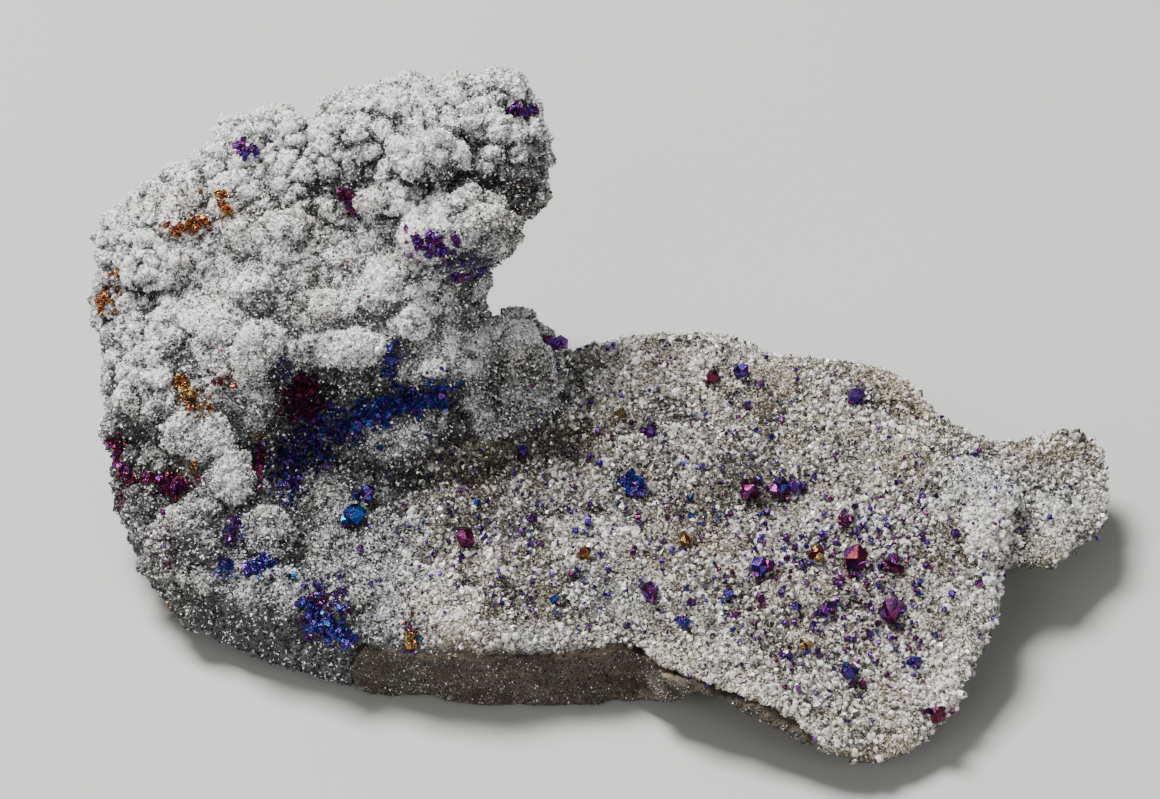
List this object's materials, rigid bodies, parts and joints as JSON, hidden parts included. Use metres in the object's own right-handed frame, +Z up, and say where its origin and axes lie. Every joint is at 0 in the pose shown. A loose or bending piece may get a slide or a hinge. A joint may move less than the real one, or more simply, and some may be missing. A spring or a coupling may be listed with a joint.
{
  "type": "chalcopyrite on quartz specimen",
  "caption": "Mineral specimen: tarnished chalcopyrite crystals on a lumpy drusy quartz crust, over broken dark matrix rock, resting on its flat underside.",
  "frame": {"origin": "under the middle of the specimen's outer box, on the plane that it rests on", "axes": "+X along the plate, away from the tall growth; +Y to the back, the way the growth leans; +Z up"},
  "size_m": [0.1092, 0.0796, 0.0473],
  "materials": {
    "quartz": "sparkling crust of tiny quartz crystals, glassy on their faces",
    "rock": "dull broken rock, fine grained",
    "tarnish_purple": "metallic sulphide with a purple iridescent tarnish",
    "tarnish_maroon": "metallic sulphide with a dark wine red iridescent tarnish",
    "tarnish_blue": "metallic sulphide with a deep blue iridescent tarnish",
    "tarnish_teal": "metallic sulphide with a teal iridescent tarnish",
    "tarnish_copper": "metallic sulphide with a copper orange iridescent tarnish",
    "tarnish_gold": "metallic sulphide with a brassy gold iridescent tarnish"
  },
  "bodies": {
    "root": {"quartz_druse": "quartz", "matrix_rock": "rock", "chalcopyrite_crystal_01": "tarnish_purple", "chalcopyrite_crystal_02": "tarnish_maroon", "chalcopyrite_crystal_03": "tarnish_purple", "chalcopyrite_crystal_04": "tarnish_maroon", "chalcopyrite_crystal_05": "tarnish_maroon", "chalcopyrite_crystal_06": "tarnish_maroon", "chalcopyrite_crystal_07": "tarnish_copper", "chalcopyrite_crystal_08": "tarnish_purple", "chalcopyrite_crystal_09": "tarnish_purple", "chalcopyrite_crystal_10": "tarnish_maroon", "chalcopyrite_crystal_11": "tarnish_maroon", "chalcopyrite_crystal_12": "tarnish_purple", "chalcopyrite_crystal_13": "tarnish_purple", "chalcopyrite_crystal_14": "tarnish_purple", "chalcopyrite_crystal_15": "tarnish_copper", "chalcopyrite_crystal_16": "tarnish_purple", "chalcopyrite_crystal_17": "tarnish_blue", "chalcopyrite_crystal_18": "tarnish_maroon", "chalcopyrite_crystal_19": "tarnish_purple", "chalcopyrite_crystal_20": "tarnish_teal", "chalcopyrite_crystal_21": "tarnish_blue", "chalcopyrite_crystal_22": "tarnish_purple", "chalcopyrite_crystal_23": "tarnish_blue", "chalcopyrite_crystal_24": "tarnish_blue", "chalcopyrite_crystal_25": "tarnish_maroon", "chalcopyrite_crystal_26": "tarnish_gold", "chalcopyrite_crystal_27": "tarnish_gold", "chalcopyrite_crystal_28": "tarnish_gold", "chalcopyrite_crystal_29": "tarnish_blue", "chalcopyrite_violet_group": "tarnish_blue", "chalcopyrite_copper_pair": "tarnish_copper", "chalcopyrite_copper_band": "tarnish_copper", "chalcopyrite_copper_post": "tarnish_copper", "chalcopyrite_violet_knot": "tarnish_purple", "chalcopyrite_red_pocket": "tarnish_maroon", "chalcopyrite_top_knot": "tarnish_purple", "chalcopyrite_cap_crust": "tarnish_purple", "chalcopyrite_ledge_crust": "tarnish_purple", "chalcopyrite_gold_band": "tarnish_gold", "chalcopyrite_red_band": "tarnish_maroon", "chalcopyrite_crimson_band": "tarnish_maroon", "chalcopyrite_maroon_post": "tarnish_maroon", "chalcopyrite_cave_crust": "tarnish_blue", "chalcopyrite_cave_cluster": "tarnish_maroon", "chalcopyrite_foot_cluster": "tarnish_blue", "chalcopyrite_hollow_crust": "tarnish_blue", "chalcopyrite_gold_knot": "tarnish_gold"}
  },
  "joints": []
}
